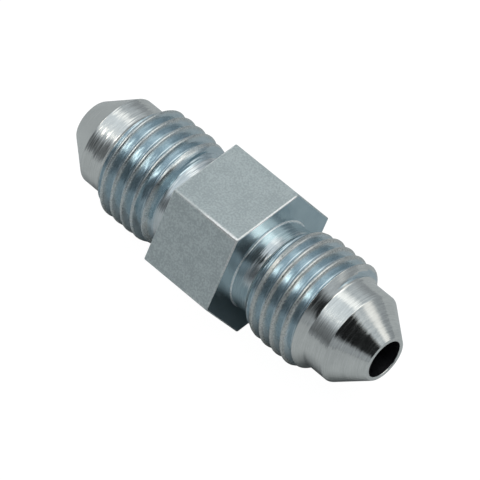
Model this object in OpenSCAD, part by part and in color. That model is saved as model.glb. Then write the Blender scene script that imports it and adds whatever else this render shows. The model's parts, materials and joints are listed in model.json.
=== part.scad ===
// Straight adapter fitting: a one-piece male to male union for flared tube, turned from hexagon bar.
// The bore lies along X, the origin is at the middle of the hexagon, and one of its flats faces down.
// Both ends are alike: an undercut neck, a right-hand thread, a chamfer, a plain nose and a sealing cone.
// Sizes are in millimetres and angles in degrees.

/* [Hexagon] */
// Width of the hexagon across its flats
hex_across_flats = 12.7; // [12.2:0.1:16]
// Length of the hexagon along the bore
hex_length = 7.85; // [4:0.05:20]

/* [Bore] */
// Diameter of the through bore
bore_d = 3.7; // [2:0.1:4]
// Width of the broken edge at each mouth of the bore
bore_edge = 0.1; // [0.05:0.05:0.15]

/* [Ends] */
// Length of each end, from the hexagon's face to the tip
end_length = 14.25; // [13.4:0.05:20]
// Diameter of the plain nose between the thread and the cone
nose_d = 9; // [8.4:0.1:9.3]
// Angle between the sealing cone and the axis
cone_angle = 37; // [34:0.5:45]
// Diameter that the cone would have at the tip's face if its edge were sharp
tip_d = 4.4; // [4.3:0.1:5.2]
// Radius of the rounded edge of the tip
tip_round = 0.15; // [0.05:0.05:0.2]

/* [Neck] */
// Diameter of the undercut neck beside the hexagon
neck_d = 9; // [8:0.1:9.3]
// Length of the neck, from the hexagon's face to the bevel where the thread starts
neck_length = 1.95; // [1.6:0.05:2.4]
// Radius of the fillet between the neck and the hexagon
neck_fillet = 0.2; // [0.1:0.1:0.6]

/* [Thread] */
// Diameter over the full crests
thread_d = 11; // [10.8:0.1:11.8]
// Distance from one turn to the next
pitch = 1.27; // [1:0.01:1.5]
// Angle between the two flanks of the groove
flank_angle = 60; // [55:1:60]
// Width of the flat on the crests
crest_flat = 0.2; // [0.15:0.01:0.3]
// Width of the flat at the bottom of the groove
root_flat = 0.15; // [0.12:0.01:0.3]
// Angle between the axis and the bevel that rises from the neck to the first crest
bevel_angle = 45; // [35:1:60]
// Diameter where that bevel ends, over the first crest, which the rolling of the thread leaves low
first_crest_d = 10.4; // [10:0.1:10.7]
// Distance from the hexagon's face to the first crest of the full diameter
full_crest_start = 3.8; // [3.3:0.1:6]
// Distance from the hexagon's face to the chamfer at the thread's outer end
chamfer_start = 7.9; // [6.6:0.1:8.5]
// Length of the chamfer that leads down to the nose
chamfer_length = 1; // [0.8:0.1:2]
// Angle, counted from +Y towards +Z, at which the groove of the +X end would meet the hexagon's face
groove_turn_front = 133; // [0:1:359]
// The same angle for the -X end, as it is before its half turn about Z
groove_turn_back = 212; // [0:1:359]

/* [Hidden] */

// fineness of the round surfaces, of the small arcs and of the thread
$fn = 48;
ARC_STEPS = 5;
STEPS_A_TURN = 40;

HEX_SIDES = 6;
hex_circle_d = hex_across_flats / cos(180 / HEX_SIDES);
hex_face = hex_length / 2;
tip_face = hex_face + end_length;

bore_r = bore_d / 2;
nose_r = nose_d / 2;
tip_r = tip_d / 2;
neck_r = neck_d / 2;
crest_r = thread_d / 2;
first_crest_r = first_crest_d / 2;

// the cone ends in a rounded edge that runs smoothly into it and into the tip's flat face
cone_length = (nose_r - tip_r) / tan(cone_angle);
tip_flat_r = tip_r - tip_round * tan((90 - cone_angle) / 2);
bevel_length = (first_crest_r - neck_r) / tan(bevel_angle);

// the groove is as wide at the crests as the pitch leaves, and its flanks give its depth
groove_width = pitch - crest_flat;
flank_slope = tan(flank_angle / 2);
root_r = crest_r - (groove_width - root_flat) / 2 / flank_slope;

// the tool that cuts the groove starts and ends in the open, and stands out past the crests
// by as much as leaves half of the crest's flat between one turn of the tool and the next
TOOL_GAP = 0.1;
tool_width = groove_width + crest_flat / 2;
tool_r = crest_r + crest_flat / 4 / flank_slope;
tool_start = tool_width / 2 + TOOL_GAP;
tool_end = chamfer_start + chamfer_length;
tool_steps = ceil((tool_end - tool_start) / pitch * STEPS_A_TURN);

// Points on an arc about a centre, each as [distance from the axis, place along it]
function arc(centre, radius, from, to) = [
    for (i = [0:ARC_STEPS])
        let (a = from + (to - from) * i / ARC_STEPS)
        centre + radius * [cos(a), sin(a)]
];

// Half of the turned outline, from inside the hexagon out to the tip
function end_outline() = concat(
    arc([neck_r + neck_fillet, hex_face + neck_fillet], neck_fillet, 270, 180),
    [
        [neck_r, hex_face + neck_length],
        [first_crest_r, hex_face + neck_length + bevel_length],
        [crest_r, hex_face + full_crest_start],
        [crest_r, hex_face + chamfer_start],
        [nose_r, hex_face + chamfer_start + chamfer_length],
        [nose_r, tip_face - cone_length]
    ],
    arc([tip_flat_r, tip_face - tip_round], tip_round, cone_angle, 90),
    [[0, tip_face]]
);

// Section of the groove tool, as [distance from the axis, distance from the groove's middle]
function tool_section() = [
    [root_r, -root_flat / 2],
    [root_r, root_flat / 2],
    [tool_r, tool_width / 2],
    [tool_r, -tool_width / 2]
];

module hexagon() {
    rotate(180 / HEX_SIDES) cylinder(h = hex_length, d = hex_circle_d, center = true, $fn = HEX_SIDES);
}

module turned_blank() {
    half = end_outline();
    other_half = [for (i = [len(half) - 1:-1:0]) [half[i].x, -half[i].y]];
    rotate_extrude() polygon(concat(half, other_half));
}

// The helical tool that leaves the thread's groove, for the end that points along +Z
module groove_tool(turn) {
    section = tool_section();
    sides = len(section);
    places = [
        for (i = [0:tool_steps], p = section)
            let (
                along = tool_start + pitch * i / STEPS_A_TURN,
                angle = turn + 90 + 360 * along / pitch
            )
            [p.x * cos(angle), p.x * sin(angle), hex_face + along + p.y]
    ];
    strips = [
        for (i = [0:tool_steps - 1], k = [0:sides - 1])
            let (
                a = i * sides + k,
                b = i * sides + (k + 1) % sides
            )
            each [[b, a, a + sides], [b, a + sides, b + sides]]
    ];
    first_cap = [for (k = [0:sides - 1]) k];
    last_cap = [for (k = [sides - 1:-1:0]) tool_steps * sides + k];
    polyhedron(places, concat([first_cap, last_cap], strips));
}

module bore_tool() {
    cylinder(h = 2 * tip_face + 2 * TOOL_GAP, r = bore_r, center = true);
    for (side = [0, 180])
        rotate([side, 0, 0])
            translate([0, 0, tip_face - bore_edge])
                cylinder(h = bore_edge + TOOL_GAP, r1 = bore_r, r2 = bore_r + bore_edge + TOOL_GAP);
}

// The whole fitting, made upright along Z and then laid along X
module adapter_body() {
    color([0.66, 0.7, 0.72])
        rotate([0, 90, 0])
            difference() {
                union() {
                    hexagon();
                    turned_blank();
                }
                bore_tool();
                groove_tool(groove_turn_front);
                rotate([180, 0, 0]) groove_tool(groove_turn_back);
            }
}

adapter_body();
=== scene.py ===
# The straight adapter fitting, lying on one flat of its hexagon: its skin, its plating and its studio.
import json
import math
from typing import NamedTuple

import bpy
import numpy as np
from mathutils import Matrix, Vector


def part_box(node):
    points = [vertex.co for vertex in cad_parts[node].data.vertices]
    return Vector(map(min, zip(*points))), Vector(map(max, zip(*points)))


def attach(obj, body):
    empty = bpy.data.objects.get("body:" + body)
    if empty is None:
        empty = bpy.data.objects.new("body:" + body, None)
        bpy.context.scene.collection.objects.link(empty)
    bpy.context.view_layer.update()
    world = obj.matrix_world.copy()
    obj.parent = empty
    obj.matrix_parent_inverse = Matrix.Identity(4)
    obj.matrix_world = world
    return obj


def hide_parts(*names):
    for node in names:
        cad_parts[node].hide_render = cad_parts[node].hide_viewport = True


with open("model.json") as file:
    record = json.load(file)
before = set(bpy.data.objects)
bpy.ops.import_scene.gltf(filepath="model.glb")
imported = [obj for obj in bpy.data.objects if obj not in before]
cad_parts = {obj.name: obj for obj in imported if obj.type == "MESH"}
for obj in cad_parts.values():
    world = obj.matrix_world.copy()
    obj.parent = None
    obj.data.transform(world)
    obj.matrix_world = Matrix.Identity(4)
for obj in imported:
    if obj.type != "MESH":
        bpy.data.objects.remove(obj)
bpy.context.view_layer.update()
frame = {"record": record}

# Sizes in millimetres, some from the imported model. Places along an end count from the hexagon's face.
MM = 0.001
NODE = "adapter_body"
mounts = {m["name"]: m for m in frame["record"]["mounts"]}
body_low, body_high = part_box(NODE)
TIP_X = body_high[0] / MM
FLAT_R = body_high[2] / MM
BORE_R = mounts["through_bore"]["dims"]["r_mm"]
CREST_R = mounts["thread_front"]["dims"]["r_mm"]
NOSE_R = mounts["cone_front"]["dims"]["r_mm"]
END_LENGTH = 14.25
HEX_FACE = TIP_X - END_LENGTH
HEX_SIDES = 6
NECK_R = 4.5
NECK_LENGTH = 1.95
FIRST_CREST_R = 5.2
BEVEL_LENGTH = 0.7
FULL_CREST_START = 3.8
CHAMFER_START = 7.9
CHAMFER_LENGTH = 1.0
CONE_ANGLE = math.radians(37)
TIP_R = 2.2
TIP_ROUND = 0.15
MOUTH_EDGE = 0.1
PITCH = 1.27
THREAD_DEPTH = 0.8
CREST_FLAT = 0.2
ROOT_FLAT = 0.15
GROOVE_TURN_FRONT = math.radians(133)
GROOVE_TURN_BACK = math.radians(212)

# Small rounds that a turned and plated part has. The thread's is a share of its depth.
HEX_EDGE = 0.1
HEX_CORNER = 0.2
NECK_FILLET = 0.15
THREAD_ROUND = 0.15
ENVELOPE_ROUND = 0.1
CHAMFER_ROUND = 0.5
SHOULDER_ROUND = 0.12

# The neck is thinner than the solid's by its sink, until it starts to rise to the bevel.
NECK_SINK = 0.045
NECK_RISE_START = 1.0
THIN_NECK_R = NECK_R - NECK_SINK
FILLET_R = THIN_NECK_R + NECK_FILLET

# Where the thread's rows start and end, just outside its bevel and its chamfer
THREAD_START = NECK_LENGTH - ENVELOPE_ROUND
THREAD_END = CHAMFER_START + CHAMFER_LENGTH + ENVELOPE_ROUND

# How far the marks reach: wear over the thread from the middle of its crest, whole and then fading out,
# and wear with a painted highlight over the hexagon's flats from their edges
CREST_WORN = 0.13
CREST_FADE = 0.2
EDGE_FADE = 0.1

# Fineness of the skin
COLUMNS = 180
CORNER_STEPS = 3
ARC_STEPS = 5
NECK_STEPS = 8
# turns of rows laid out past each end of the thread, so that no column runs short of them
SPARE_TURNS = 2
# the step over which the thread's slope is taken, and the least gap from its rows to the plain rings
SLOPE_STEP = 0.004
LEAST_GAP = 0.004
# the rings on the end face, as shares of the way from the fillet out to the edge
FACE_RINGS = [0.985, 0.5, 0.05, 0]
# the rows across one turn of the thread, as shares of the pitch on from the crest's middle
THREAD_ROWS = [0, 0.05, 0.08, 0.115, 0.15, 0.22, 0.29, 0.35, 0.39, 0.42, 0.46]
THREAD_ROWS += [0.5] + [1 - share for share in reversed(THREAD_ROWS[1:])]
# the bore's first ring lies this far inside the tip
MOUTH_DEPTH = 3 * MOUTH_EDGE
# half of the angle that one side of the hexagon takes up, and a margin that keeps a corner's last columns in
HALF_SIDE = math.pi / HEX_SIDES
REACH_MARGIN = 1.0001


class Wear(NamedTuple):
    """How the plating looks where it is worn and where it carries a painted highlight, and the share of this
    left on three sides.

    The back is the -X end, the low side is the one near the floor, and the far side is the +Y one.
    """

    dark: tuple
    light: tuple
    added_roughness: float
    added_grain: float
    back_share: float = 1.0
    low_share: float = 1.0
    far_share: float = 1.0


class Finish(NamedTuple):
    """The plating of one zone: its darkest and lightest tint, its gloss and its marks.

    Lines and grain are heights in microns, and the lines run round the axis. Sway is how much the lines tilt
    the surface, and stretch is how far they spread a highlight.
    """

    name: str
    dark: tuple
    light: tuple
    roughness: float
    rough_change: float
    stretch: float
    lines: float
    grain: float
    sway: float
    wear: Wear = None


# The hexagon's rounded edges and corners: partly wear, and partly a painted highlight with a near-white
# tint, full on the top edges and weaker below them, at the -X end and on the +Y side.
EDGE_WEAR_AND_HIGHLIGHT = Wear(
    dark=(0.82, 0.82, 0.81),
    light=(1.0, 1.0, 0.99),
    added_roughness=-0.5,
    added_grain=1.0,
    back_share=0.35,
    low_share=0.3,
    far_share=0.1,
)
WORN_CREST = Wear(
    dark=(0.56, 0.58, 0.57),
    light=(0.73, 0.74, 0.72),
    added_roughness=0.12,
    added_grain=0.7,
    back_share=0.6,
)
# A painted highlight: a much lighter tint along the fillet between the end face and the neck.
FILLET_PAINTED_HIGHLIGHT = Wear(
    dark=(0.8, 0.86, 0.88),
    light=(0.95, 0.99, 1.0),
    added_roughness=0.06,
    added_grain=0.3,
)
FINISHES = {
    "hexagon": Finish(
        name="drawn_flat_zinc",
        dark=(0.585, 0.64, 0.655),
        light=(0.74, 0.79, 0.795),
        roughness=0.85,
        rough_change=0.05,
        stretch=0,
        lines=0,
        grain=1.5,
        sway=0,
        wear=EDGE_WEAR_AND_HIGHLIGHT,
    ),
    # The end face's tint is darker than the other zones': partly the plating's blue tint, and partly painted
    # shade in the step between the hexagon and the neck.
    "end_face": Finish(
        name="turned_face_zinc_painted_shade",
        dark=(0.41, 0.535, 0.59),
        light=(0.49, 0.62, 0.67),
        roughness=0.22,
        rough_change=0.05,
        stretch=0,
        lines=2,
        grain=0.5,
        sway=0.05,
        wear=FILLET_PAINTED_HIGHLIGHT,
    ),
    "neck": Finish(
        name="turned_neck_zinc",
        dark=(0.62, 0.67, 0.69),
        light=(0.82, 0.85, 0.86),
        roughness=0.13,
        rough_change=0.05,
        stretch=0.5,
        lines=3,
        grain=0.3,
        sway=0.2,
    ),
    "thread": Finish(
        name="rolled_thread_zinc",
        dark=(0.505, 0.605, 0.65),
        light=(0.625, 0.715, 0.765),
        roughness=0.18,
        rough_change=0.05,
        stretch=0.4,
        lines=1.5,
        grain=1,
        sway=0.1,
        wear=WORN_CREST,
    ),
    "nose": Finish(
        name="turned_nose_zinc",
        dark=(0.68, 0.69, 0.68),
        light=(0.82, 0.83, 0.81),
        roughness=0.14,
        rough_change=0.06,
        stretch=0.6,
        lines=2.5,
        grain=0.5,
        sway=0.15,
    ),
    # The bore's tint is near black: painted shade inside the bore.
    "bore": Finish(
        name="drilled_bore_zinc_painted_shade",
        dark=(0.05, 0.05, 0.06),
        light=(0.08, 0.08, 0.09),
        roughness=0.5,
        rough_change=0.05,
        stretch=0,
        lines=1,
        grain=1,
        sway=0,
    ),
}
ZONES = list(FINISHES)

# The plating's textures, as the scales of their noise. The lines are stretched round the axis.
MOTTLE_SCALE = 700
GRAIN_SCALE = 5500
LINE_SCALE = 10000
LINE_STRETCH = 0.04
WEAR_SCALE = 1600
NOISE_MIDDLE = (0.5, 0.5, 0.5)
# the mottle's share of the tint, and the parts of the noise that the tint and the gloss run over
MOTTLE_SHARE = 0.25
TINT_RANGE = (0.4, 0.6)
GLOSS_RANGE = (0.35, 0.65)
# how ragged the edge of the wear and the painted highlights is, the part of its noise that does this, and
# where they fade in
RAGGED = 0.12
RAGGED_RANGE = (0.3, 0.7)
WEAR_RANGE = (0.15, 0.75)
# where wear and painted highlights change along X, Y and Z, and where along X the lines get coarser, by this
# much at the -X end
WEAR_X = (-1 * MM, 3 * MM)
WEAR_Y = (3.2 * MM, 3.5 * MM)
WEAR_Z = (3 * MM, 6.2 * MM)
COARSE_X = (-5 * MM, 5 * MM)
COARSE_LINES = 3.0
MICRON = 0.001 * MM
# the turning lines run round the axis, so the highlights spread along it
QUARTER_TURN = 0.25

# The studio as directions in degrees: azimuth 0 is -Y and 90 is +X, and elevation counts up from the floor.
# Each card is (azimuth, elevation, half width, half height, soft edge, brightness added to the sky's).
CARDS = {
    "overhead_back": (-170, 60, 54, 10, 12, 0.45),
    "overhead_right": (117, 60, 25, 9, 8, 1.2),
    "back_right": (140, 40, 12, 18, 10, 0.5),
    "overhead_left": (-68, 43, 16, 5, 7, 4.0),
    "overhead_front": (12, 69, 26, 5, 6, 1.3),
}
# Each gap is dark, and its last number is the share of the sky's light that is left there.
GAPS = {
    "camera_left": (-12, 20, 36, 17, 16, 0.42),
    "far_left": (-42, 23, 8, 13, 8, 0.4),
    "camera_front": (8, 42, 22, 10, 8, 0.05),
}
# Each round gap is (azimuth, elevation, radius, soft edge, share of the light that is left).
ROUND_GAPS = {
    "camera_side": (65, 38.5, 25.5, 10, 0.02),
}
# The sky brightens over two bands of elevation: from the horizon to the low sky, and on to the high sky.
LOW_BAND = (12, 32)
HIGH_BAND = (42, 56)
HORIZON_GLOW = 0.33
LOW_SKY_GLOW = 0.53
HIGH_SKY_GLOW = 0.77
SKY_COLOUR = (0.92, 1.0, 1.05, 1)
CARD_COLOUR = (1.075, 1.0, 0.89, 1)

# The floors and the lamp over them, in metres and watts
FLOOR_HALF = 3.0
FLOOR_GAP = 0.00001
FLOOR_ROUGHNESS = 0.9
WHITE_FLOOR = (0.05, 0.05, 0.05)
WHITE_GLOW = 0.98
DULL_FLOOR = (0.29, 0.306, 0.312)
LAMP_AZIMUTH = 170
LAMP_ELEVATION = 75
LAMP_DISTANCE = 0.7
LAMP_SIZE = 0.5
LAMP_ENERGY = 4.2

# The photograph's view in degrees and metres, solved from the hexagon's corners and the outline
VIEW_AZIMUTH = 46.2
VIEW_ELEVATION = 51.4
VIEW_ROLL = 0.16
VIEW_DISTANCE = 0.3837
TARGET_RIGHT = 0.000297
TARGET_UP = -0.000137
FOCAL_PIXELS = 4431.7
FRAME_PIXELS = 480
SENSOR_WIDTH = 36
CLIP_START = 0.01


def smooth_min(a, b, reach):
    """The lower of two heights, blended where they are within reach of each other."""
    near = np.clip(0.5 + 0.5 * (b - a) / reach, 0, 1)
    return b + (a - b) * near - reach * near * (1 - near)


def smooth_max(a, b, reach):
    return -smooth_min(-a, -b, reach)


def thread_radius(x, angle, groove_turn):
    """The skin's distance from the axis from the bevel to the chamfer, each point's zone, and its wear."""
    turns = (x / PITCH) - (angle - groove_turn) / (2 * math.pi) + 0.5
    from_crest = np.abs(turns - np.round(turns)) * PITCH
    half_crest, half_root = CREST_FLAT / 2, (PITCH - ROOT_FLAT) / 2
    flank = (half_root - from_crest) / (half_root - half_crest)
    height = smooth_max(smooth_min(flank, 1.0, THREAD_ROUND), 0.0, THREAD_ROUND)
    thread = CREST_R - THREAD_DEPTH * (1 - height)
    bevel = NECK_R + (x - NECK_LENGTH) * (FIRST_CREST_R - NECK_R) / BEVEL_LENGTH
    bevel_end = NECK_LENGTH + BEVEL_LENGTH
    rise = FIRST_CREST_R + (x - bevel_end) * (CREST_R - FIRST_CREST_R) / (FULL_CREST_START - bevel_end)
    chamfer = CREST_R - (x - CHAMFER_START) * (CREST_R - NOSE_R) / CHAMFER_LENGTH
    blank = smooth_min(smooth_min(bevel, rise, ENVELOPE_ROUND), chamfer, CHAMFER_ROUND)
    skin = smooth_max(smooth_min(thread, blank, ENVELOPE_ROUND / 2), NECK_R, ENVELOPE_ROUND)
    plain = (x > CHAMFER_START) & (thread > blank)
    wear = np.clip(1 - (from_crest - CREST_WORN) / CREST_FADE, 0, 1)
    return skin, np.where(plain, "nose", "thread"), wear


def corner_centre():
    """How far from the axis the centre of a corner's round lies."""
    return (FLAT_R - HEX_CORNER) / math.cos(HALF_SIDE)


def corner_reach():
    """The angle that half of a rounded corner takes up, as seen from the axis."""
    round_end = corner_centre() + HEX_CORNER * math.cos(HALF_SIDE)
    return math.atan2(HEX_CORNER * math.sin(HALF_SIDE), round_end)


def past_corner(angles):
    """How far each angle is past the hexagon's nearest corner."""
    return (angles + HALF_SIDE) % (2 * HALF_SIDE) - HALF_SIDE


def corner_columns(angles):
    """1 at the columns on the hexagon's rounded corners, and 0 at the others."""
    return (np.abs(past_corner(angles)) <= corner_reach() * REACH_MARGIN).astype(float)


def column_angles():
    """Even steps about the axis, with a few more at each rounded corner of the hexagon."""
    reach = corner_reach()
    angles = [2 * math.pi * i / COLUMNS for i in range(COLUMNS)]
    for corner in range(HEX_SIDES):
        for step in range(1, CORNER_STEPS + 1):
            for side in (-1, 1):
                angles.append(math.radians(360 / HEX_SIDES * corner) + side * reach * step / CORNER_STEPS)
    return np.array(sorted(a % (2 * math.pi) for a in angles))


def hexagon(angles):
    """The hexagon's distance from the axis at each angle, and the direction that it faces there."""
    past = past_corner(angles)
    corner = angles - past
    flat = FLAT_R / np.cos(HALF_SIDE - np.abs(past))
    facing = corner + np.where(past < 0, -1, 1) * HALF_SIDE
    centre = corner_centre()
    rounded = corner_columns(angles) > 0
    swing = np.where(rounded, past, 0)
    arc = centre * np.cos(swing) + np.sqrt(HEX_CORNER**2 - (centre * np.sin(swing)) ** 2)
    arc_facing = corner + np.arcsin(np.clip(arc * np.sin(swing) / HEX_CORNER, -1, 1))
    return np.where(rounded, arc, flat), np.where(rounded, arc_facing, facing)


class Skin:
    """A mesh that grows ring by ring, with each point's normal, its mark for wear and painted highlight, and
    each face's zone.
    """

    def __init__(self, angles):
        self.angles = angles
        self.points, self.normals, self.wear, self.faces, self.zones = [], [], [], [], []
        self.turned = False

    def add(self, x, radius, angle, along, out, facing=None, wear=0.0):
        """One point. Along and out are its normal's shares along X and away from the axis."""
        facing = angle if facing is None else facing
        point = Vector((x, radius * math.cos(angle), radius * math.sin(angle)))
        normal = Vector((along, out * math.cos(facing), out * math.sin(facing))).normalized()
        if self.turned:
            half_turn = Matrix.Rotation(math.pi, 3, "Z")
            point, normal = half_turn @ point, half_turn @ normal
        self.points.append(point * MM)
        self.normals.append(normal)
        self.wear.append(wear)
        return len(self.points) - 1

    def ring(self, x, radius, along, out, facing=None, wear=0.0):
        """One point at each column, all at the same x. Radius and the mark for wear and painted highlight
        can differ from column to column.
        """
        radius = np.broadcast_to(radius, self.angles.shape)
        wear = np.broadcast_to(wear, self.angles.shape)
        facing = self.angles if facing is None else facing
        return [self.add(x, r, a, along, out, f, w) for r, a, f, w in zip(radius, self.angles, facing, wear)]

    def face(self, corners, zone):
        """One face, left out where its corners meet and leave it no area."""
        kept = [c for i, c in enumerate(corners) if c != corners[i - 1]]
        if len(set(kept)) > 2:
            self.faces.append(kept)
            self.zones.append(ZONES.index(zone))

    def join(self, inner, outer, zone):
        """A band of faces from one ring to the next one along the outline."""
        for i in range(len(inner)):
            j = (i + 1) % len(inner)
            self.face([inner[i], inner[j], outer[j], outer[i]], zone)

    def chain(self, rings, zone):
        for inner, outer in zip(rings, rings[1:]):
            self.join(inner, outer, zone)


def arc_angles(start, end):
    return [start + (end - start) * i / ARC_STEPS for i in range(ARC_STEPS + 1)]


def hexagon_end(skin):
    """The hexagon's rounded edge and its end face, down to the fillet. Returns the first and last ring."""
    radius, facing = hexagon(skin.angles)
    flats_end = HEX_FACE - HEX_EDGE
    # The corners and the rounded edge are marked: partly wear, and partly a painted highlight along the
    # edge.
    edge = [skin.ring(flats_end - EDGE_FADE, radius, 0, 1, facing, corner_columns(skin.angles))]
    for a in arc_angles(0, math.pi / 2):
        x = flats_end + HEX_EDGE * math.sin(a)
        inward = HEX_EDGE * (1 - math.cos(a))
        edge.append(skin.ring(x, radius - inward, math.sin(a), math.cos(a), facing, 1.0))
    skin.chain(edge, "hexagon")
    face = [edge[-1]]
    for share in FACE_RINGS:
        face.append(skin.ring(HEX_FACE, FILLET_R + (radius - HEX_EDGE - FILLET_R) * share, 1, 0))
    skin.chain(face, "end_face")
    return edge[0], face[-1]


def neck(skin, first):
    """The fillet and the neck, up to the ring where the thread's rows start."""
    fillet = [first]
    # The fillet's rings are marked so that their lighter tint paints a highlight line along the fillet.
    for a in arc_angles(0, math.pi / 2)[1:]:
        x = HEX_FACE + NECK_FILLET * (1 - math.cos(a))
        fillet.append(skin.ring(x, FILLET_R - NECK_FILLET * math.sin(a), math.cos(a), math.sin(a), wear=1.0))
    skin.chain(fillet, "end_face")
    rings = [fillet[-1]]
    rise = THREAD_START - NECK_RISE_START
    for step in range(NECK_STEPS + 1):
        share = step / NECK_STEPS
        x = HEX_FACE + NECK_RISE_START + rise * share
        rings.append(skin.ring(x, THIN_NECK_R + NECK_SINK * share**2, -2 * NECK_SINK * share / rise, 1))
    skin.chain(rings, "neck")
    return rings[-1]


def thread(skin, first, groove_turn):
    """The thread's rows follow its helix. A row that runs off either end joins the plain ring there."""
    last = skin.ring(HEX_FACE + THREAD_END, NOSE_R, 0, 1)
    rows = len(THREAD_ROWS)
    low = math.floor(THREAD_START / PITCH - SPARE_TURNS)
    high = math.ceil(THREAD_END / PITCH + SPARE_TURNS)
    shares = np.array([turn + share for turn in range(low, high) for share in THREAD_ROWS])[:, None]
    crest_turn = (skin.angles - groove_turn) / (2 * math.pi) - 0.5
    x = PITCH * (shares + crest_turn)
    radius, zone, wear = thread_radius(x, skin.angles, groove_turn)
    ahead = thread_radius(x + SLOPE_STEP, skin.angles, groove_turn)[0]
    behind = thread_radius(x - SLOPE_STEP, skin.angles, groove_turn)[0]
    slope = (ahead - behind) / (2 * SLOPE_STEP)
    ids = np.empty(x.shape, int)
    for column, angle in enumerate(skin.angles):
        for row in range(len(shares)):
            if x[row, column] <= THREAD_START + LEAST_GAP:
                ids[row, column] = first[column]
            elif x[row, column] >= THREAD_END - LEAST_GAP:
                ids[row, column] = last[column]
            else:
                place = HEX_FACE + x[row, column]
                slant, wear_and_highlight_level = -slope[row, column], wear[row, column]
                ids[row, column] = skin.add(place, radius[row, column], angle, slant, 1, wear=wear_and_highlight_level)
    # one turn on, the first column's row is a whole turn of rows further along
    following = np.concatenate([ids[:-rows, 1:], ids[rows:, :1]], axis=1)
    for row in range(len(following) - 1):
        for column in range(len(skin.angles)):
            side, next_side = ids[row : row + 2, column], following[row : row + 2, column]
            corners = [side[0], next_side[0], next_side[1], side[1]]
            skin.face([int(c) for c in corners], str(zone[row, column]))
    return last


def nose(skin, first):
    """The plain nose, the cone, the tip's rounded edge and the bore's mouth, to the bore's first ring."""
    rings = [first]
    cone_start = TIP_X - (NOSE_R - TIP_R) / math.tan(CONE_ANGLE)
    shoulder_x = cone_start - SHOULDER_ROUND * math.tan(CONE_ANGLE / 2)
    rings.append(skin.ring(shoulder_x - SHOULDER_ROUND, NOSE_R, 0, 1))
    for a in arc_angles(0, CONE_ANGLE):
        radius = NOSE_R - SHOULDER_ROUND * (1 - math.cos(a))
        rings.append(skin.ring(shoulder_x + SHOULDER_ROUND * math.sin(a), radius, math.sin(a), math.cos(a)))
    flat_r = TIP_R - TIP_ROUND * math.tan((math.pi / 2 - CONE_ANGLE) / 2)
    for a in arc_angles(CONE_ANGLE, math.pi / 2):
        x = TIP_X - TIP_ROUND * (1 - math.sin(a))
        rings.append(skin.ring(x, flat_r + TIP_ROUND * math.cos(a), math.sin(a), math.cos(a)))
    for a in arc_angles(math.pi / 2, math.pi):
        x = TIP_X - MOUTH_EDGE * (1 - math.sin(a))
        rings.append(skin.ring(x, BORE_R + MOUTH_EDGE * (1 + math.cos(a)), math.sin(a), math.cos(a)))
    skin.chain(rings, "nose")
    inside = skin.ring(TIP_X - MOUTH_DEPTH, BORE_R, 0, -1)
    skin.join(rings[-1], inside, "bore")
    return inside


def build_end(skin, groove_turn):
    """One end, from its ring on the hexagon's flats to its ring inside the bore."""
    flats, fillet = hexagon_end(skin)
    nose_ring = thread(skin, neck(skin, fillet), groove_turn)
    return flats, nose(skin, nose_ring)


def build_skin():
    """Both ends, the second turned half a turn about Z, and the flats and the bore that join them."""
    angles = column_angles()
    skin = Skin(angles)
    front_flats, front_bore = build_end(skin, GROOVE_TURN_FRONT)
    skin.turned = True
    back_flats, back_bore = build_end(skin, GROOVE_TURN_BACK)
    # the half turn puts each column at the mirrored angle, so the back's rings are read in that order
    mirrored = [np.argmin(np.abs(np.angle(np.exp(1j * (math.pi - a - angles))))) for a in angles]
    skin.join([back_flats[i] for i in mirrored], front_flats, "hexagon")
    skin.join(front_bore, [back_bore[i] for i in mirrored], "bore")
    mesh = bpy.data.meshes.new("adapter_skin")
    mesh.from_pydata(skin.points, [], skin.faces)
    mesh.polygons.foreach_set("material_index", skin.zones)
    mesh.polygons.foreach_set("use_smooth", [True] * len(skin.faces))
    mesh.update()
    mesh.normals_split_custom_set_from_vertices(skin.normals)
    mesh.attributes.new("wear", "FLOAT", "POINT").data.foreach_set("value", skin.wear)
    piece = bpy.data.objects.new("adapter_skin", mesh)
    bpy.context.scene.collection.objects.link(piece)
    return piece


class Nodes:
    """A small helper that adds and wires shader nodes."""

    def __init__(self, tree):
        self.tree = tree
        tree.nodes.clear()

    def add(self, kind, inputs=None, **settings):
        node = self.tree.nodes.new(kind)
        for name, value in settings.items():
            setattr(node, name, value)
        for name, value in (inputs or {}).items():
            self.feed(node.inputs[name], value)
        return node

    def feed(self, socket, value):
        """Wires an output to the socket, or sets the socket to a plain value."""
        if isinstance(value, bpy.types.NodeSocket):
            self.tree.links.new(value, socket)
        else:
            socket.default_value = value

    def math(self, operation, a, b=0.0):
        return self.add("ShaderNodeMath", {0: a, 1: b}, operation=operation).outputs[0]

    def wrap(self, angle):
        """The same angle between minus and plus half a turn."""
        return self.add("ShaderNodeMath", {0: angle, 1: math.pi, 2: -math.pi}, operation="WRAP").outputs[0]

    def noise(self, vector, scale, detail=2.0, roughness=0.6):
        inputs = {"Vector": vector, "Scale": scale, "Detail": detail, "Roughness": roughness}
        return self.add("ShaderNodeTexNoise", inputs).outputs

    def vector(self, operation, a, b=(0, 0, 0)):
        return self.add("ShaderNodeVectorMath", {0: a, 1: b}, operation=operation).outputs[0]

    def ramp(self, value, low, high, to_low, to_high):
        inputs = {"Value": value, "From Min": low, "From Max": high, "To Min": to_low, "To Max": to_high}
        return self.add("ShaderNodeMapRange", inputs, clamp=True).outputs["Result"]

    def colours(self, value, first, second):
        """A blend of two colours, each an output or three plain numbers."""
        node = self.add("ShaderNodeMix", {"Factor": value}, data_type="RGBA")
        for socket in node.inputs:
            if socket.type == "RGBA":
                colour = first if socket.name == "A" else second
                self.feed(socket, (*colour, 1) if isinstance(colour, tuple) else colour)
        return [o for o in node.outputs if o.type == "RGBA"][0]


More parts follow.
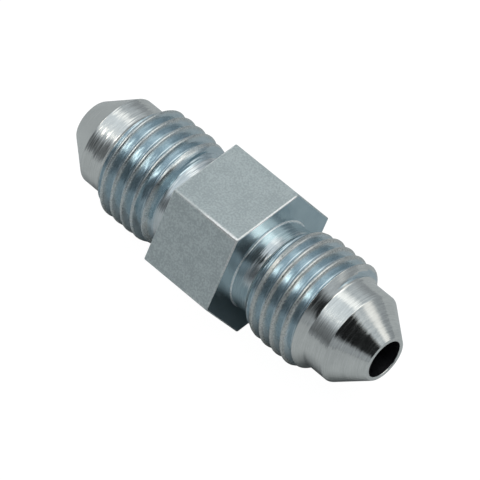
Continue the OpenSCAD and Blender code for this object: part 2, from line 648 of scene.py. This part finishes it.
def worn_share(n, place, where, wear):
    """How much wear and painted highlight each point gets, by the skin's marks and the share that its side
    keeps, with a ragged edge.
    """
    wear_and_highlight_marks = n.add("ShaderNodeAttribute", attribute_name="wear").outputs["Fac"]
    back = n.ramp(where["X"], *WEAR_X, wear.back_share, 1.0)
    low = n.ramp(where["Z"], *WEAR_Z, wear.low_share, 1.0)
    far = n.ramp(where["Y"], *WEAR_Y, 1.0, wear.far_share)
    kept = n.math("MULTIPLY", n.math("MULTIPLY", back, low), far)
    ragged = n.ramp(n.noise(place, WEAR_SCALE)["Fac"], *RAGGED_RANGE, RAGGED, -RAGGED)
    return n.ramp(n.math("ADD", n.math("MULTIPLY", wear_and_highlight_marks, kept), ragged), *WEAR_RANGE, 0, 1)


def plated(finish):
    """Zinc plating with a mottled tint, turning lines round the axis and a fine grain."""
    material = bpy.data.materials.new(finish.name)
    material.use_nodes = True
    n = Nodes(material.node_tree)
    place = n.add("ShaderNodeTexCoord").outputs["Object"]
    where = n.add("ShaderNodeSeparateXYZ", {0: place}).outputs
    mottle = n.noise(place, MOTTLE_SCALE)["Fac"]
    fine = n.noise(place, GRAIN_SCALE, detail=1.0, roughness=0.5)["Fac"]
    turned = n.noise(n.vector("MULTIPLY", place, (1, LINE_STRETCH, LINE_STRETCH)), LINE_SCALE, detail=3.0)
    line_share = finish.lines / (finish.lines + finish.grain)
    line_part = n.math("MULTIPLY", turned["Fac"], line_share)
    texture = n.math("ADD", line_part, n.math("MULTIPLY", fine, 1 - line_share))
    mottle_part = n.math("MULTIPLY", mottle, MOTTLE_SHARE)
    tint = n.math("ADD", mottle_part, n.math("MULTIPLY", texture, 1 - MOTTLE_SHARE))
    colour = n.colours(n.ramp(tint, *TINT_RANGE, 0, 1), finish.dark, finish.light)
    least, most = finish.roughness - finish.rough_change, finish.roughness + finish.rough_change
    rough = n.ramp(texture, *GLOSS_RANGE, least, most)
    grain = finish.grain
    # A lighter tint blends in where the finish has one: wear on the thread's crests, partly wear and partly
    # a painted highlight on the hexagon's edges, and a painted highlight on the fillet.
    if finish.wear:
        wear_and_highlight_level = worn_share(n, place, where, finish.wear)
        wear_and_highlight_colour = n.colours(n.ramp(fine, *GLOSS_RANGE, 0, 1), finish.wear.dark, finish.wear.light)
        colour = n.colours(wear_and_highlight_level, colour, wear_and_highlight_colour)
        rough = n.math("ADD", rough, n.math("MULTIPLY", wear_and_highlight_level, finish.wear.added_roughness))
        grain = n.math("ADD", n.math("MULTIPLY", wear_and_highlight_level, finish.wear.added_grain), finish.grain)
    line_height = n.math("MULTIPLY", turned["Fac"], finish.lines)
    height = n.math("ADD", line_height, n.math("MULTIPLY", fine, grain))
    sway = n.ramp(where["X"], *COARSE_X, COARSE_LINES * finish.sway, finish.sway)
    tilt = n.vector("MULTIPLY", n.vector("SUBTRACT", turned["Color"], NOISE_MIDDLE), sway)
    level = n.add("ShaderNodeNewGeometry").outputs["Normal"]
    swayed = n.vector("NORMALIZE", n.vector("ADD", level, tilt))
    bump_inputs = {"Height": height, "Strength": 1.0, "Distance": MICRON, "Normal": swayed}
    shader_inputs = {
        "Base Color": colour,
        "Roughness": rough,
        "Metallic": 1.0,
        "Anisotropic": finish.stretch,
        "Normal": n.add("ShaderNodeBump", bump_inputs).outputs[0],
    }
    if finish.stretch:
        shader_inputs["Tangent"] = n.add("ShaderNodeTangent", direction_type="RADIAL", axis="X").outputs[0]
        shader_inputs["Anisotropic Rotation"] = QUARTER_TURN
    shader = n.add("ShaderNodeBsdfPrincipled", shader_inputs)
    n.add("ShaderNodeOutputMaterial", {"Surface": shader.outputs[0]})
    return material


def dress(piece):
    """One material for each zone, in the order that the faces count them."""
    for finish in FINISHES.values():
        piece.data.materials.append(plated(finish))


def direction(azimuth, elevation):
    a, e = math.radians(azimuth), math.radians(elevation)
    return Vector((math.sin(a) * math.cos(e), -math.cos(a) * math.cos(e), math.sin(e)))


def patch_of_sky(n, azimuth, elevation, patch):
    """1 inside a soft-edged patch of the sky, and 0 outside it."""
    centre_azimuth, centre_elevation, half_width, half_height, soft, _ = patch

    def within(angle, centre, half):
        away = n.math("ABSOLUTE", n.wrap(n.math("SUBTRACT", angle, math.radians(centre))))
        return n.ramp(away, math.radians(half - soft / 2), math.radians(half + soft / 2), 1, 0)

    across = within(azimuth, centre_azimuth, half_width)
    return n.math("MULTIPLY", across, within(elevation, centre_elevation, half_height))


def round_patch_of_sky(n, outward, patch):
    """1 inside a soft-edged round patch of the sky, and 0 outside it."""
    azimuth, elevation, radius, soft, _ = patch
    inputs = {0: outward, 1: direction(azimuth, elevation)}
    nearness = n.add("ShaderNodeVectorMath", inputs, operation="DOT_PRODUCT").outputs["Value"]
    outer, inner = (math.cos(math.radians(radius + side * soft / 2)) for side in (1, -1))
    return n.ramp(nearness, outer, inner, 0, 1)


def sky_glow(n, elevation):
    """The sky's brightness at each elevation."""
    low_start, low_end, high_start, high_end = (math.radians(e) for e in LOW_BAND + HIGH_BAND)
    low = n.ramp(elevation, low_start, low_end, HORIZON_GLOW, LOW_SKY_GLOW)
    high = n.ramp(elevation, high_start, high_end, 0, HIGH_SKY_GLOW - LOW_SKY_GLOW)
    return n.math("ADD", low, high)


def light_world():
    """The sky that the metal mirrors: brighter with height, with soft cards and dark gaps."""
    world = bpy.data.worlds.new("studio")
    bpy.context.scene.world = world
    world.use_nodes = True
    n = Nodes(world.node_tree)
    outward = n.add("ShaderNodeTexCoord").outputs["Generated"]
    view = n.add("ShaderNodeSeparateXYZ", {0: outward}).outputs
    azimuth = n.math("ARCTAN2", view["X"], n.math("MULTIPLY", view["Y"], -1.0))
    elevation = n.math("ARCSINE", view["Z"])
    glow = sky_glow(n, elevation)
    gaps = [(patch_of_sky(n, azimuth, elevation, gap), gap[-1]) for gap in GAPS.values()]
    gaps += [(round_patch_of_sky(n, outward, gap), gap[-1]) for gap in ROUND_GAPS.values()]
    for patch, left in gaps:
        glow = n.math("MULTIPLY", glow, n.math("SUBTRACT", 1.0, n.math("MULTIPLY", patch, 1 - left)))
    cards = 0.0
    for card in CARDS.values():
        cards = n.math("ADD", n.math("MULTIPLY", patch_of_sky(n, azimuth, elevation, card), card[-1]), cards)
    sky = n.add("ShaderNodeBackground", {"Color": SKY_COLOUR, "Strength": glow})
    soft_cards = n.add("ShaderNodeBackground", {"Color": CARD_COLOUR, "Strength": cards})
    both = n.add("ShaderNodeAddShader", {0: sky.outputs[0], 1: soft_cards.outputs[0]})
    n.add("ShaderNodeOutputWorld", {"Surface": both.outputs[0]})


def matt(name, colour, glow=0.0):
    """A plain floor material, with a white glow of its own."""
    material = bpy.data.materials.new(name)
    material.use_nodes = True
    n = Nodes(material.node_tree)
    inputs = {
        "Base Color": (*colour, 1),
        "Roughness": FLOOR_ROUGHNESS,
        "Emission Color": (1, 1, 1, 1),
        "Emission Strength": glow,
    }
    shader = n.add("ShaderNodeBsdfPrincipled", inputs)
    n.add("ShaderNodeOutputMaterial", {"Surface": shader.outputs[0]})
    return material


def build_floor(name, level, material):
    h = FLOOR_HALF
    mesh = bpy.data.meshes.new(name)
    mesh.from_pydata([(-h, -h, level), (h, -h, level), (h, h, level), (-h, h, level)], [], [(0, 1, 2, 3)])
    floor = bpy.data.objects.new(name, mesh)
    floor.data.materials.append(material)
    bpy.context.scene.collection.objects.link(floor)
    return floor


def build_floors():
    """The white floor that the camera sees, and just over it the duller one that the metal mirrors."""
    white = build_floor("floor", body_low[2], matt("white_floor", WHITE_FLOOR, WHITE_GLOW))
    white.visible_glossy = False
    dull = build_floor("mirrored_floor", body_low[2] + FLOOR_GAP, matt("dull_floor", DULL_FLOOR))
    dull.visible_camera = dull.visible_diffuse = dull.visible_shadow = False


def light_floor():
    """A soft lamp overhead that lights the floor and leaves the metal to the sky's cards."""
    light = bpy.data.lights.new("floor_lamp", "AREA")
    light.shape = "SQUARE"
    light.size = LAMP_SIZE
    light.energy = LAMP_ENERGY
    lamp = bpy.data.objects.new("floor_lamp", light)
    lamp.location = direction(LAMP_AZIMUTH, LAMP_ELEVATION) * LAMP_DISTANCE
    lamp.rotation_euler = lamp.location.to_track_quat("Z", "Y").to_euler()
    lamp.visible_glossy = False
    bpy.context.scene.collection.objects.link(lamp)


def place_camera():
    camera = bpy.data.objects.new("camera", bpy.data.cameras.new("camera"))
    bpy.context.scene.collection.objects.link(camera)
    back = direction(VIEW_AZIMUTH, VIEW_ELEVATION)
    right = Vector((math.cos(math.radians(VIEW_AZIMUTH)), math.sin(math.radians(VIEW_AZIMUTH)), 0))
    target = right * TARGET_RIGHT + back.cross(right) * TARGET_UP
    camera.location = back * VIEW_DISTANCE
    look = (target - camera.location).to_track_quat("-Z", "Y").to_matrix()
    roll = Matrix.Rotation(math.radians(VIEW_ROLL), 3, "Z")
    camera.rotation_euler = (look @ roll).to_euler()
    camera.data.sensor_width = SENSOR_WIDTH
    camera.data.lens = FOCAL_PIXELS / FRAME_PIXELS * SENSOR_WIDTH
    camera.data.clip_start = CLIP_START
    bpy.context.scene.camera = camera


place_camera()
piece = build_skin()
dress(piece)
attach(piece, "root")
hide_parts(NODE)
light_world()
build_floors()
light_floor()
bpy.context.scene.view_settings.view_transform = "Standard"
